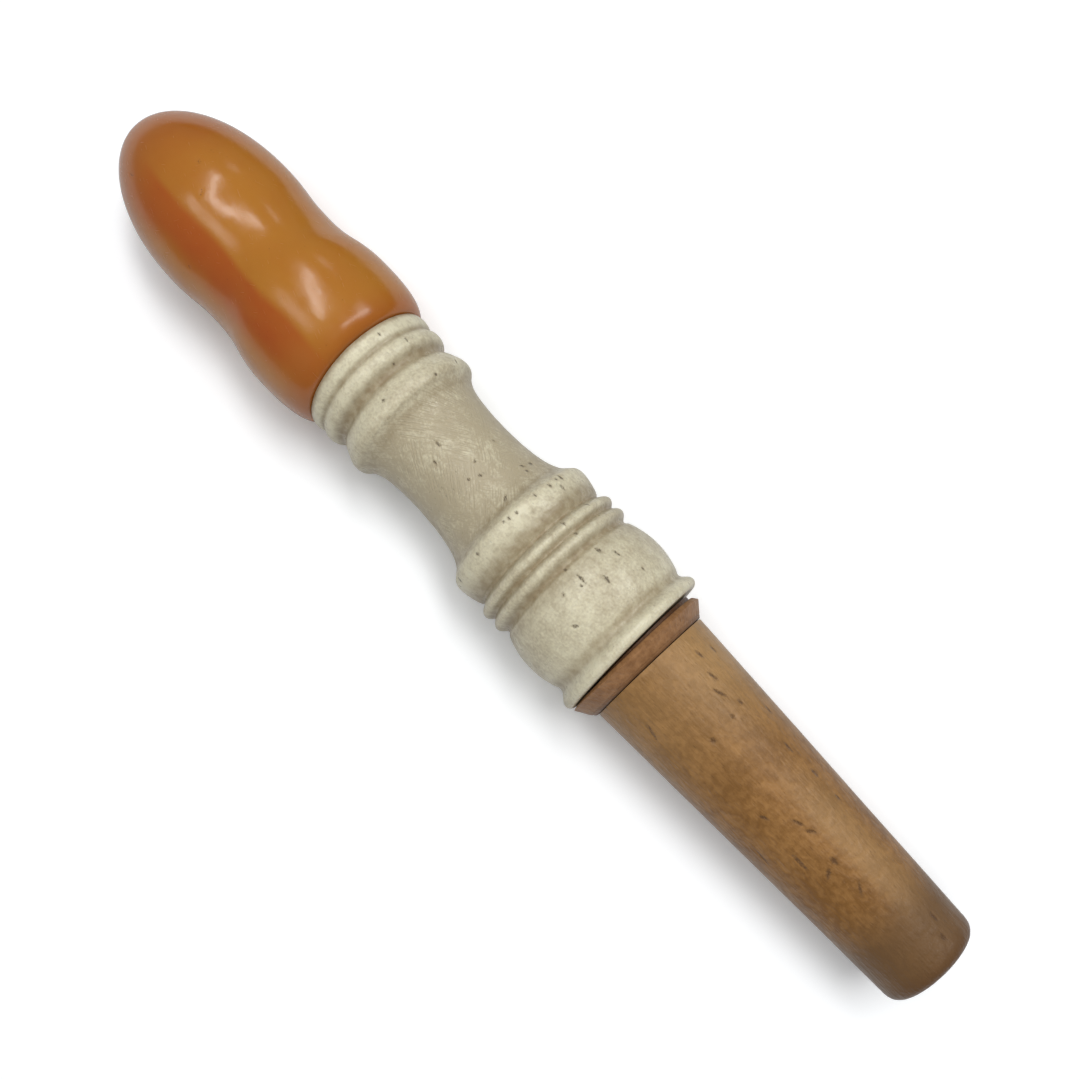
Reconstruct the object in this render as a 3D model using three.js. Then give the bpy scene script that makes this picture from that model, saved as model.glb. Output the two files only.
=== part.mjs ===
// A bar muddler: resin knob, turned bone grip, wooden collar and wooden pestle on a steel tie rod.
// Millimetres, +Z up. It lies along X, knob at -X, on the plane z = 0, with the origin under its middle.
// An "at" is a distance along the axis from the tip of the knob. Where a stretch of outline is a free
// curve, "leave" and "arrive" are its two handles.
import * as THREE from 'three';

const LENGTH = 200;
const FIT_GAP = 0.3;
const SIDES = 36;
const SMALL_SIDES = 24;

// Resin knob: two lobes with a waist between them. Its section is a little deeper than it is wide.
const TIP_LOBE = { at: 25, radius: 14.55 };
const KNOB_WAIST = { at: 38.2, radius: 13.65 };
const BASE_LOBE = { at: 51.9, radius: 15.3 };
const KNOB_BASE = { at: 62.9, radius: 12.95 };
const KNOB_ROUNDING = { leave: { at: 57.4, radius: 15.3 }, arrive: { at: 61.9, radius: 14.6 } };
const KNOB_DEPTH_SCALE = 1.026;

// Turned bone grip, named from the knob to the lip.
const BONE_TOP = { at: KNOB_BASE.at + FIT_GAP, radius: 12.75 };
const RING_GROOVE = { at: 66.3, radius: 12.5 };
const OGEE_GROOVE = { at: 70.6, radius: 12.1 };
const OGEE_SHOULDER = { at: 76.4, radius: 13.1 };
const GRIP_WAIST = { at: 88.5, radius: 10.3 };
const BIG_BEAD_EDGE = { at: 102.5, radius: 14.1 };
const FIRST_GROOVE = { at: 108.4, radius: 13.4 };
const SECOND_GROOVE = { at: 111.4, radius: 13.85 };
const BELLY_START = { at: 114.6, radius: 13.7 };
const NECK = { at: 127.4, radius: 13.85 };
const BONE_END = { at: 131, radius: 14.2 };
const WAIST_FALL = { leave: { at: 78.4, radius: 11 }, arrive: { at: 81.8, radius: 10.4 } };
const WAIST_RISE = { leave: { at: 95, radius: 10.5 }, arrive: { at: 99.2, radius: 11.3 } };
const RING_CREST = 13.15;
const OGEE_CREST = 13.35;
const SMALL_BEAD_CREST = 14.75;
const BIG_BEAD_CREST = 14.55;
const BELLY_CREST = 15.1;
const LIP_CREST = 15.15;
const BIG_BEAD_LEAN = 0.15;
const LIP_LEAN = 0.7;
const AXIS_HEIGHT = LIP_CREST;

// Inside the bone: the marrow cavity, and the socket for the pestle's tenon.
const CAVITY_RADIUS = 6.5;
const SOCKET_RADIUS = 8.5;
const SOCKET_AT = 102;

// Wood below the bone.
const COLLAR_NECK = { at: BONE_END.at + FIT_GAP, radius: 12.7 };
const COLLAR_START = { at: 131.7, radius: 13.3 };
const COLLAR_CREST = { at: 132.65, radius: 14.1 };
const COLLAR_END = { at: 134.8, radius: 11.9 };
const SHOULDER = { at: COLLAR_END.at + FIT_GAP, radius: 11.65 };
const TENON_AT = 116;
const WORKING_EDGE = { at: 197, radius: 8.95 };
const WORKING_FACE_RADIUS = 5.6;
const CHAMFER = 0.8;

// Steel tie rod, an M5 screwed rod with its washer and nut, and the bushes it runs through.
const ROD_RADIUS = 2.5;
const ROD_HOLE_RADIUS = ROD_RADIUS + FIT_GAP;
const ROD_START = 44.3;
const ROD_END = 114.5;
const UPPER_BUSH_LENGTH = 12;
const LOWER_BUSH_LENGTH = 5;
const WASHER = { radius: 5, thickness: 1, chamfer: 0.2 };
const NUT = { acrossFlats: 8, thickness: 4 };

const finishes = {
  resin: new THREE.MeshStandardMaterial({ color: 0xb0702d, roughness: 0.18, metalness: 0 }),
  bone: new THREE.MeshStandardMaterial({ color: 0xcdc7ae, roughness: 0.42, metalness: 0 }),
  redWood: new THREE.MeshStandardMaterial({ color: 0x94694a, roughness: 0.55, metalness: 0 }),
  pestleWood: new THREE.MeshStandardMaterial({ color: 0xa37a4c, roughness: 0.6, metalness: 0 }),
  bushWood: new THREE.MeshStandardMaterial({ color: 0xb8966a, roughness: 0.7, metalness: 0 }),
  steel: new THREE.MeshStandardMaterial({ color: 0x9a9c9f, roughness: 0.35, metalness: 1 }),
};

/** Starts an outline at a point on the axis side; its x runs along the muddler, its y is the radius. */
function outlineFrom(at, radius) {
  const outline = new THREE.Path();
  outline.moveTo(at, radius);
  return outline;
}

/** Adds a rounded bead that rises to `crest`; `lean` moves its fullest part towards `end`. */
function addBead(outline, end, crest, lean = 0.5) {
  const start = outline.currentPoint;
  const fullest = start.x + (end.at - start.x) * lean;
  const foot = (start.y + end.radius) / 2;
  outline.quadraticCurveTo(fullest, 2 * crest - foot, end.at, end.radius);
}

/** Adds a free curve to `end` by way of its two handles. */
function addCurve(outline, { leave, arrive }, end) {
  outline.bezierCurveTo(leave.at, leave.radius, arrive.at, arrive.radius, end.at, end.radius);
}

/** Adds a slope that leaves and arrives parallel to the axis. */
function addSlope(outline, end) {
  const start = outline.currentPoint;
  const middle = (start.x + end.at) / 2;
  outline.bezierCurveTo(middle, start.y, middle, end.radius, end.at, end.radius);
}

/** Spins an outline about the X axis into one closed body. */
function turned(outline, { divisions = 6, sides = SIDES, firstAngle = 0, closed = false } = {}) {
  const profile = outline.getPoints(divisions).map((point) => new THREE.Vector2(point.y, point.x));
  if (closed) {
    profile.push(profile[0].clone());
  }
  const body = new THREE.LatheGeometry(profile, sides, firstAngle);
  return body.rotateZ(-Math.PI / 2);
}

/** A plain turned tube or ring with chamfered outer corners. */
function turnedRing({ from, to, radius, hole, chamfer, sides = SMALL_SIDES }) {
  const outline = outlineFrom(from, hole);
  outline.lineTo(from, radius - chamfer);
  outline.lineTo(from + chamfer, radius);
  outline.lineTo(to - chamfer, radius);
  outline.lineTo(to, radius - chamfer);
  outline.lineTo(to, hole);
  return turned(outline, { sides, closed: true });
}

/** Knob: turned lobes, a little deeper than wide, ground flat underneath, with a blind hole for the rod. */
function knobBody() {
  const outline = outlineFrom(0, 0);
  outline.absellipse(TIP_LOBE.at, 0, TIP_LOBE.at, TIP_LOBE.radius, Math.PI, Math.PI / 2, true);
  addSlope(outline, KNOB_WAIST);
  addSlope(outline, BASE_LOBE);
  addCurve(outline, KNOB_ROUNDING, KNOB_BASE);
  outline.lineTo(KNOB_BASE.at, ROD_HOLE_RADIUS);
  outline.lineTo(ROD_START - FIT_GAP, ROD_HOLE_RADIUS);
  outline.lineTo(ROD_START - FIT_GAP, 0);
  const halfStep = Math.PI / SIDES;
  return shapeByHand(turned(outline, { firstAngle: halfStep }));
}

/** Deepens the knob's section and grinds its underside flat where it would reach below the lip. */
function shapeByHand(body) {
  const points = body.attributes.position;
  for (let i = 0; i < points.count; i += 1) {
    const radius = Math.hypot(points.getY(i), points.getZ(i));
    if (radius > ROD_HOLE_RADIUS + FIT_GAP) {
      points.setZ(i, Math.max(points.getZ(i) * KNOB_DEPTH_SCALE, -AXIS_HEIGHT));
    }
  }
  return body;
}

/** Bone grip: every turned ring in order, then the socket and the marrow cavity back to the top. */
function boneBody() {
  const outline = outlineFrom(BONE_TOP.at, CAVITY_RADIUS);
  outline.lineTo(BONE_TOP.at, BONE_TOP.radius);
  addBead(outline, RING_GROOVE, RING_CREST);
  addBead(outline, OGEE_GROOVE, RING_CREST);
  addBead(outline, OGEE_SHOULDER, OGEE_CREST);
  addCurve(outline, WAIST_FALL, GRIP_WAIST);
  addCurve(outline, WAIST_RISE, BIG_BEAD_EDGE);
  addBead(outline, FIRST_GROOVE, BIG_BEAD_CREST, BIG_BEAD_LEAN);
  addBead(outline, SECOND_GROOVE, SMALL_BEAD_CREST);
  addBead(outline, BELLY_START, SMALL_BEAD_CREST);
  addBead(outline, NECK, BELLY_CREST);
  addBead(outline, BONE_END, LIP_CREST, LIP_LEAN);
  outline.lineTo(BONE_END.at, SOCKET_RADIUS);
  outline.lineTo(SOCKET_AT, SOCKET_RADIUS);
  outline.lineTo(SOCKET_AT, CAVITY_RADIUS);
  return turned(outline, { closed: true });
}

/** Collar: a short neck against the bone, a narrow bevel, and a steep cone towards the pestle. */
function collarBody() {
  const outline = outlineFrom(COLLAR_NECK.at, SOCKET_RADIUS);
  outline.lineTo(COLLAR_NECK.at, COLLAR_NECK.radius);
  outline.lineTo(COLLAR_START.at, COLLAR_NECK.radius);
  outline.lineTo(COLLAR_START.at, COLLAR_START.radius);
  outline.lineTo(COLLAR_CREST.at, COLLAR_CREST.radius);
  outline.lineTo(COLLAR_END.at, COLLAR_END.radius);
  outline.lineTo(COLLAR_END.at, SOCKET_RADIUS);
  return turned(outline, { closed: true });
}

/** Pestle: a tenon for the socket, a square shoulder, and a straight taper to the rounded working end. */
function pestleBody() {
  const tenonRadius = SOCKET_RADIUS - FIT_GAP;
  const outline = outlineFrom(TENON_AT, 0);
  outline.lineTo(TENON_AT, tenonRadius - CHAMFER);
  outline.lineTo(TENON_AT + CHAMFER, tenonRadius);
  outline.lineTo(SHOULDER.at, tenonRadius);
  outline.lineTo(SHOULDER.at, SHOULDER.radius);
  outline.lineTo(WORKING_EDGE.at, WORKING_EDGE.radius);
  outline.quadraticCurveTo(LENGTH, WORKING_EDGE.radius, LENGTH, WORKING_FACE_RADIUS);
  outline.lineTo(LENGTH, 0);
  return turned(outline);
}

/** Tie rod: a plain cylinder of the screwed rod's outer diameter. */
function rodBody() {
  const outline = outlineFrom(ROD_START, 0);
  outline.lineTo(ROD_START, ROD_RADIUS - CHAMFER);
  outline.lineTo(ROD_START + CHAMFER, ROD_RADIUS);
  outline.lineTo(ROD_END - CHAMFER, ROD_RADIUS);
  outline.lineTo(ROD_END, ROD_RADIUS - CHAMFER);
  outline.lineTo(ROD_END, 0);
  return turned(outline, { sides: SMALL_SIDES });
}

/** Hexagon nut, extruded along the axis. */
function nutBody(from) {
  const cornerRadius = NUT.acrossFlats / Math.sqrt(3);
  const hexagon = new THREE.Shape();
  for (let corner = 0; corner < 6; corner += 1) {
    const angle = (corner * Math.PI) / 3;
    const point = new THREE.Vector2(Math.cos(angle), Math.sin(angle)).multiplyScalar(cornerRadius);
    if (corner === 0) {
      hexagon.moveTo(point.x, point.y);
    } else {
      hexagon.lineTo(point.x, point.y);
    }
  }
  hexagon.closePath();
  hexagon.holes.push(new THREE.Path().absarc(0, 0, ROD_HOLE_RADIUS, 0, 2 * Math.PI, true));
  const body = new THREE.ExtrudeGeometry(hexagon, {
    depth: NUT.thickness, bevelEnabled: false, curveSegments: SMALL_SIDES / 2 });
  return body.rotateY(Math.PI / 2).translate(from, 0, 0);
}

const muddler = new THREE.Group();
muddler.position.set(-LENGTH / 2, 0, AXIS_HEIGHT);

/** Names a body, gives it its finish and adds it to the muddler. */
function addPiece(name, body, finish) {
  const piece = new THREE.Mesh(body, finish);
  piece.name = name;
  muddler.add(piece);
}

addPiece('knob', knobBody(), finishes.resin);
addPiece('bone_handle', boneBody(), finishes.bone);
addPiece('collar', collarBody(), finishes.redWood);
addPiece('pestle', pestleBody(), finishes.pestleWood);
addPiece('tie_rod', rodBody(), finishes.steel);

const bushShape = { radius: CAVITY_RADIUS - FIT_GAP, hole: ROD_HOLE_RADIUS, chamfer: CHAMFER };
const upperBushEnd = BONE_TOP.at + UPPER_BUSH_LENGTH;
addPiece('upper_bush', turnedRing({ ...bushShape, from: BONE_TOP.at, to: upperBushEnd }), finishes.bushWood);

const lowerBushStart = SOCKET_AT + FIT_GAP;
const lowerBushEnd = lowerBushStart + LOWER_BUSH_LENGTH;
const lowerBush = turnedRing({
  ...bushShape, radius: SOCKET_RADIUS - FIT_GAP, from: lowerBushStart, to: lowerBushEnd });
addPiece('lower_bush', lowerBush, finishes.bushWood);

const washerStart = lowerBushEnd + FIT_GAP;
const washerEnd = washerStart + WASHER.thickness;
const washer = turnedRing({ ...WASHER, from: washerStart, to: washerEnd, hole: ROD_HOLE_RADIUS });
addPiece('rod_washer', washer, finishes.steel);
addPiece('rod_nut', nutBody(washerEnd + FIT_GAP), finishes.steel);

export default muddler;
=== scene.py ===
"""Looks of a bar muddler: a cast resin knob, a turned bone grip, a wooden collar and a wooden pestle.

The muddler lies along X, knob at -X, on the plane z = 0. Outlines are in millimetres: "at" is a distance
along the axis from the tip of the knob, and a radius is measured from the axis. An angle round the axis is
in degrees from straight up, positive towards +Y.
"""

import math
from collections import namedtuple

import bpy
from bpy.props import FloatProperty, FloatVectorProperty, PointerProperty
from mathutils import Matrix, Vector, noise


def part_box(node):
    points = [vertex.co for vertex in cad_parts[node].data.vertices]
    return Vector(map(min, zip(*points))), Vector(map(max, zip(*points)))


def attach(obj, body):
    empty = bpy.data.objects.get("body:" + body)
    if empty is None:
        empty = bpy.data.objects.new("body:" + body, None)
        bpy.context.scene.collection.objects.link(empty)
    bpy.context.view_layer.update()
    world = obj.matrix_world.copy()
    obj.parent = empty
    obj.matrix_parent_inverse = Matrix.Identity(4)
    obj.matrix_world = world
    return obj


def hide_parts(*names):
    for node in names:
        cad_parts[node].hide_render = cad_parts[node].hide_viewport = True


bl_info = {
    "name": "Turned Muddler",
    "version": (1, 0, 0),
    "blender": (4, 5, 0),
    "location": "View3D > Sidebar > Muddler",
    "description": "Builds a bar muddler with a resin knob, a bone grip, a wooden collar and a pestle",
    "category": "Add Mesh",
}

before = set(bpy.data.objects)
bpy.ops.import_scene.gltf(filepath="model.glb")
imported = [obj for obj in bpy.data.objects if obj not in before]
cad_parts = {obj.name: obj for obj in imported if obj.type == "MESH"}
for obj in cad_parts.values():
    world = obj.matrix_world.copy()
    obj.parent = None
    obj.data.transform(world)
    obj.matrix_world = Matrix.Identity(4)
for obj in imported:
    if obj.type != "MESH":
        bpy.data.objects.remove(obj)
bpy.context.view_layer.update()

MM = 0.001
BODY = "root"
TIP_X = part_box("knob")[0].x
AXIS_HEIGHT = (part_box("bone_handle")[0].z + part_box("bone_handle")[1].z) / 2

# Resin knob.
TIP_LOBE = (25, 14.55)
KNOB_WAIST = (38.2, 13.65)
BASE_LOBE = (51.9, 15.3)
KNOB_BASE = (62.75, 12.9)
KNOB_BASE_ROUNDING = ((57.2, 15.3), (61.9, 14.8))
KNOB_DEPTH_SCALE = 1.026
ROD_HOLE_END = 44.0

# Bone grip, from the knob to the lip. A bead ends at its point; a groove starts there and ends at the next.
BONE_TOP = (62.85, 12.85)
RING_1_END = (65.8, 12.85)
RING_2_START = (66.9, 12.85)
RING_2_END = (69.5, 12.75)
OGEE_START = (72.0, 12.3)
OGEE_EDGE = (76.4, 13.1)
GRIP_WAIST = (88.5, 10.3)
BIG_BEAD_EDGE = (102.0, 13.9)
BIG_BEAD_END = (107.7, 13.7)
SMALL_BEAD_1_START = (108.9, 13.85)
SMALL_BEAD_1_END = (110.9, 14.1)
SMALL_BEAD_2_START = (111.9, 14.1)
SMALL_BEAD_2_END = (113.9, 14.0)
BELLY_START = (115.4, 14.0)
BELLY_END = (126.6, 14.15)
LIP_START = (128.4, 14.2)
BONE_END = (131.0, 14.5)
RING_CREST = 13.2
BIG_BEAD_CREST = 14.55
SMALL_BEAD_CREST = 14.75
BELLY_CREST = 15.1
LIP_CREST = 15.2

# The radius at which the two sides of each groove would meet.
RING_GROOVE = 12.2
OGEE_GROOVE = 10.9
BIG_BEAD_GROOVE = 12.6
SMALL_BEAD_GROOVE = 13.2
BELLY_GROOVE = 12.9
LIP_GROOVE = 13.4

# The bone inside.
CAVITY_RADIUS = 6.5
SOCKET_RADIUS = 8.5
SOCKET_AT = 102.0

# Wooden collar and pestle.
COLLAR_NECK = (131.3, 12.7)
COLLAR_START = (131.65, 13.3)
COLLAR_CREST = (132.55, 14.0)
COLLAR_END = (135.0, 11.8)
SHOULDER = (135.1, 11.65)
TENON_AT = 116.0
TENON_RADIUS = 8.2
WORKING_EDGE = (197.0, 8.95)
WORKING_FACE_RADIUS = 5.6
LENGTH = 200.0

# Steel tie rod and what is on it.
ROD_RADIUS = 2.5
ROD_HOLE_RADIUS = 2.8
THREAD_PITCH = 0.8
THREAD_DEPTH = 0.45
BUSH_RADII = (6.2, 8.2)
WASHER_RADIUS = 5.0
NUT_ACROSS_FLATS = 8.0
NUT_FACE_SHARE = 0.96
ROD_CHAMFER = 0.6
BUSH_CHAMFER = 0.8
WASHER_CHAMFER = 0.2
RINGS_PER_PITCH = 6

# A hollow is darkened with dirt and painted shade where it lies this far below what is within reach of it.
HOLLOW_REACH = 2.0
HOLLOW_DEPTH = 0.8

# The UV map that every turned piece carries: millimetres along the outline, and round it at one radius.
UV_NAME = "turning"
UV_RADIUS = 13.0
SHARP_ANGLE = math.radians(40)

# The grain of the raggedness at the edge of a mark, and a place past the working end.
MARK_EDGE_GRAIN = (0.45, 0.18, 0.18)
PAST_END = LENGTH + 20

Ring = namedtuple("Ring", "at radius hollow outer")
# A zone along the bone darkened with dirt and painted shade: its place, reach and strength.
Dirt = namedtuple("Dirt", "at reach strength")
Mark = namedtuple("Mark", "at angle length width depth slant", defaults=(0.0,))


# ---- Settings that a user would change ----


def colour_setting(name, description, default):
    """A colour setting."""
    return FloatVectorProperty(
        name=name, description=description, subtype="COLOR", size=3, min=0, max=1, default=default
    )


def length_setting(name, description, millimetres):
    """A length setting, shown in the scene's units."""
    return FloatProperty(
        name=name, description=description, unit="LENGTH", min=0, precision=5, default=millimetres * MM
    )


def angle_setting(name, description, degrees):
    """An angle setting."""
    return FloatProperty(
        name=name, description=description, subtype="ANGLE", default=math.radians(degrees)
    )


def strength_setting(name, description, default, top=10.0):
    """A plain number, from nothing to `top`."""
    return FloatProperty(name=name, description=description, min=0, max=top, default=default)


class KnobSettings(bpy.types.PropertyGroup):
    """The knob's shaping by hand, and its resin."""

    lump_height: length_setting("Lump height", "How far the polished surface swells and dips", 0.1)
    lump_size: length_setting("Lump size", "Distance from one swelling to the next", 15)
    amber: colour_setting("Amber", "The resin's main colour", (0.455, 0.18, 0.022))
    deep_amber: colour_setting("Deep amber", "The browner resin at both ends", (0.4, 0.125, 0.016))
    red: colour_setting("Red swirl", "The red resin that was stirred in", (0.4, 0.085, 0.012))
    nick: colour_setting("Nick", "Dirt in a nick or a pit", (0.08, 0.03, 0.01))
    gloss: strength_setting("Roughness", "Roughness of the polished resin", 0.2, 1)


class BoneSettings(bpy.types.PropertyGroup):
    """The bone grip's finish."""

    wobble: length_setting("Wobble", "How far the turned surface strays from round", 0.06)
    ivory: colour_setting("Ivory", "Clean bone", (0.74, 0.69, 0.505))
    # The colour the bone darkens to over the waist and, less, over the beads and belly.
    shaded: colour_setting("Handled bone", "Bone darkened by hands", (0.47, 0.405, 0.275))
    # The bone's dirt colour; it also paints the shade in the grooves, the joint and the hollows.
    grime_and_shade: colour_setting("Grime", "Dirt in the grooves", (0.27, 0.2, 0.11))
    pore: colour_setting("Pore", "The inside of a pore", (0.05, 0.035, 0.022))
    gloss: strength_setting("Roughness", "Roughness of the bone", 0.32, 1)


class WoodSettings(bpy.types.PropertyGroup):
    """The finishes of the collar, the pestle and the bushes."""

    # Also the colour of the painted sheen band and of the painted light on the +Y side near the collar.
    pale: colour_setting("Pale wood", "The pestle where it is least handled", (0.52, 0.33, 0.145))
    golden: colour_setting("Golden wood", "Light grain of the pestle", (0.375, 0.19, 0.059))
    brown: colour_setting("Brown wood", "Dark grain of the pestle", (0.205, 0.093, 0.021))
    stained: colour_setting("Stained wood", "The pestle near its working end", (0.14, 0.075, 0.03))
    red: colour_setting("Red wood", "Light grain of the collar", (0.41, 0.215, 0.095))
    dark_red: colour_setting("Dark red wood", "Dark grain of the collar", (0.25, 0.12, 0.047))
    # Also paints the shade in the collar's neck and the wood's hollows, and darkens the working end's
    # rounded edge.
    check: colour_setting("Check", "The inside of a crack", (0.085, 0.035, 0.012))
    gloss: strength_setting("Roughness", "Roughness of the worn wood", 0.46, 1)
    # Sets the sheen, and how strongly the painted sheen band and the painted light near the collar show.
    dust_and_painted_sheen: strength_setting("Dust", "Pale bloom of the pestle's handled surface", 0.15, 1)


class SteelSettings(bpy.types.PropertyGroup):
    """The finish of the rod, the washer and the nut."""

    steel: colour_setting("Steel", "Bare steel", (0.52, 0.52, 0.51))
    rust: colour_setting("Rust", "Light rust in the thread", (0.2, 0.085, 0.035))
    gloss: strength_setting("Roughness", "Roughness of the steel", 0.35, 1)


class StageSettings(bpy.types.PropertyGroup):
    """The floor, the lights and the camera."""

    floor: colour_setting("Floor", "Colour of the floor", (0.7, 0.7, 0.7))
    floor_lift: strength_setting("Floor lift", "How much lighter the floor shows than it is", 1.64)
    sky: strength_setting("Sky", "Brightness of the sky all round", 0.16)
    lights: strength_setting("Lights", "Brightness of the lights", 8.2, 100)
    lens: FloatProperty(name="Lens", description="Focal length in millimetres", default=40, min=1)
    camera_height: length_setting("Camera height", "Height of the camera above the axis", 202.8)
    camera_at: length_setting("Camera place", "Distance of the camera from the knob's tip", 139)
    camera_aside: length_setting("Camera aside", "Distance of the camera to the side", 1.28)
    tilt: angle_setting("Tilt", "How far the camera leans towards the knob", 9.04)
    roll: angle_setting("Roll", "Turn of the picture about the view", 46.39)


# ---- Turning: outlines, and the meshes spun from them ----


class Outline:
    """An outline of a turned piece, drawn point by point as (at, radius)."""

    def __init__(self, at, radius, step=0.3):
        self.points = [Vector((at, radius))]
        self.step = step

    def to(self, *handles):
        """Adds a curve to the last of the handles; with only one, it is a straight line."""
        hull = [self.points[-1], *(Vector(handle) for handle in handles)]
        length = sum((b - a).length for a, b in zip(hull, hull[1:]))
        count = max(1, math.ceil(length / self.step))
        for i in range(1, count + 1):
            line = hull
            while len(line) > 1:
                line = [a.lerp(b, i / count) for a, b in zip(line, line[1:])]
            self.points.append(line[0])
        return self

    def bead(self, end, crest, lean=0.5):
        """Adds a rounded bead that rises to `crest`; `lean` moves its fullest part towards `end`."""
        start = self.points[-1]
        fullest = start.x + (end[0] - start.x) * lean
        foot = (start.y + end[1]) / 2
        return self.to((fullest, 2 * crest - foot), end)

    def groove(self, end, bottom):
        """Adds a hollow whose sides both lean towards `bottom`, the radius they would meet at."""
        return self.to(((self.points[-1].x + end[0]) / 2, bottom), end)

    def slope(self, end):
        """Adds a slope that leaves and arrives parallel to the axis."""
        start = self.points[-1]
        middle = (start.x + end[0]) / 2
        return self.to((middle, start.y), (middle, end[1]), end)

    def nose(self, end):
        """Adds a quarter ellipse from the axis out to `end`."""
        start = self.points[-1]
        count = math.ceil(math.hypot(end[0] - start.x, end[1]) / self.step)
        for i in range(1, count + 1):
            turn = math.pi / 2 * i / count
            at = end[0] - (end[0] - start.x) * math.cos(turn)
            self.points.append(Vector((at, end[1] * math.sin(turn))))
        return self

    def softened(self, reach):
        """Rounds every corner over about `reach` millimetres; the two ends stay where they are."""
        soft = [self.points[0]]
        for i in range(1, len(self.points) - 1):
            middle = self.points[i]
            total, weight_sum = Vector((0, 0)), 0.0
            for point in self.points[max(0, i - 12) : i + 13]:
                weight = math.exp(-((point - middle).length / reach) ** 2)
                total += weight * point
                weight_sum += weight
            soft.append(total / weight_sum)
        self.points = [*soft, self.points[-1]]
        return self

    def rings(self, dirt_and_shade_zones=()):
        """The outline as rings, each with how dark it is painted, from 0 to 1, for dirt and painted shade:
        in hollows, and in each of `dirt_and_shade_zones`.
        """
        made = []
        for middle in self.points:
            near = [p.y for p in self.points if abs(p.x - middle.x) < HOLLOW_REACH]
            dip = (sum(near) / len(near) - middle.y) / HOLLOW_DEPTH
            dirty_and_shaded = [zone.strength * math.exp(-(((middle.x - zone.at) / zone.reach) ** 2)) for zone in dirt_and_shade_zones]
            made.append(Ring(middle.x, middle.y, min(1, max([0, dip, *dirty_and_shaded])), True))
        return made


def inner_rings(*points):
    """Plain rings for a bore or an end that doesn't show, from (at, radius) points."""
    return [Ring(at, radius, 0.5, False) for at, radius in points]


def round_section(at, radius, angle):
    """A round section: a point's place along, across and up, in millimetres from the axis."""
    return Vector((at, radius * math.sin(angle), radius * math.cos(angle)))


def mark_strength(mark, at, radius, angle):
    """How deep a point lies in a mark, from 0 at its edge to 1 in its middle."""
    along = at - mark.at
    around = radius * (angle - math.radians(mark.angle)) - mark.slant * along
    spread = (2 * along / mark.length) ** 2 + (2 * around / mark.width) ** 2
    return max(0, 1 - spread)


def turned_mesh(name, rings, sides, section=round_section, marks=(), closed=False):
    """Spins rings about the axis into a mesh with a UV map in millimetres, "hollow" and "mark"."""
    points, hollows, depths = [], [], []
    rows = []
    for ring in rings:
        near = [m for m in marks if ring.outer and abs(m.at - ring.at) < m.length / 2]
        count = sides if ring.radius > 0 else 1
        row = []
        for i in range(count):
            angle = 2 * math.pi * i / sides - math.pi
            depth, shown = 0.0, 0.0
            for mark in near:
                strength = mark_strength(mark, ring.at, ring.radius, angle)
                depth = max(depth, mark.depth * strength)
                shown = max(shown, strength)
            row.append(len(points))
            points.append(section(ring.at, ring.radius - depth, angle))
            hollows.append(ring.hollow)
            depths.append(shown)
        rows.append(row)

    faces, uvs = [], []
    path = 0.0
    pairs = list(zip(range(len(rows)), range(1, len(rows))))
    if closed:
        pairs.append((len(rows) - 1, 0))
    for first, second in pairs:
        a, b = rings[first], rings[second]
        next_path = path + math.hypot(b.at - a.at, b.radius - a.radius)
        for i in range(sides):
            corners = []
            for row, along, step in (
                (rows[first], path, 0),
                (rows[second], next_path, 0),
                (rows[second], next_path, 1),
                (rows[first], path, 1),
            ):
                corner = row[(i + step) % len(row)]
                around = (2 * math.pi * (i + step) / sides - math.pi) * UV_RADIUS
                if corner not in [known for known, _ in corners]:
                    corners.append((corner, (along, around)))
            faces.append([corner for corner, _ in corners])
            uvs += [uv for _, uv in corners]
        path = next_path

    mesh = bpy.data.meshes.new(name)
    mesh.from_pydata([to_frame(point) for point in points], [], faces)
    layer = mesh.uv_layers.new(name=UV_NAME)
    layer.data.foreach_set("uv", [value for uv in uvs for value in uv])
    for title, values in (("hollow", hollows), ("mark", depths)):
        mesh.attributes.new(title, "FLOAT", "POINT").data.foreach_set("value", values)
    mesh.shade_smooth()
    mesh.set_sharp_from_angle(angle=SHARP_ANGLE)
    mesh.validate()
    return mesh


def to_frame(point):
    """A point along, across and above the axis in millimetres, as a place in the frame in metres."""
    return Vector((TIP_X + point.x * MM, point.y * MM, AXIS_HEIGHT + point.z * MM))


def add_piece(name, mesh, material, node):
    """Puts a piece in the scene, in place of its CAD node."""
    mesh.materials.append(material)
    piece = bpy.data.objects.new(name, mesh)
    bpy.context.scene.collection.objects.link(piece)
    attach(piece, BODY)
    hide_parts(node)


# ---- Laying out nodes ----


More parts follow.
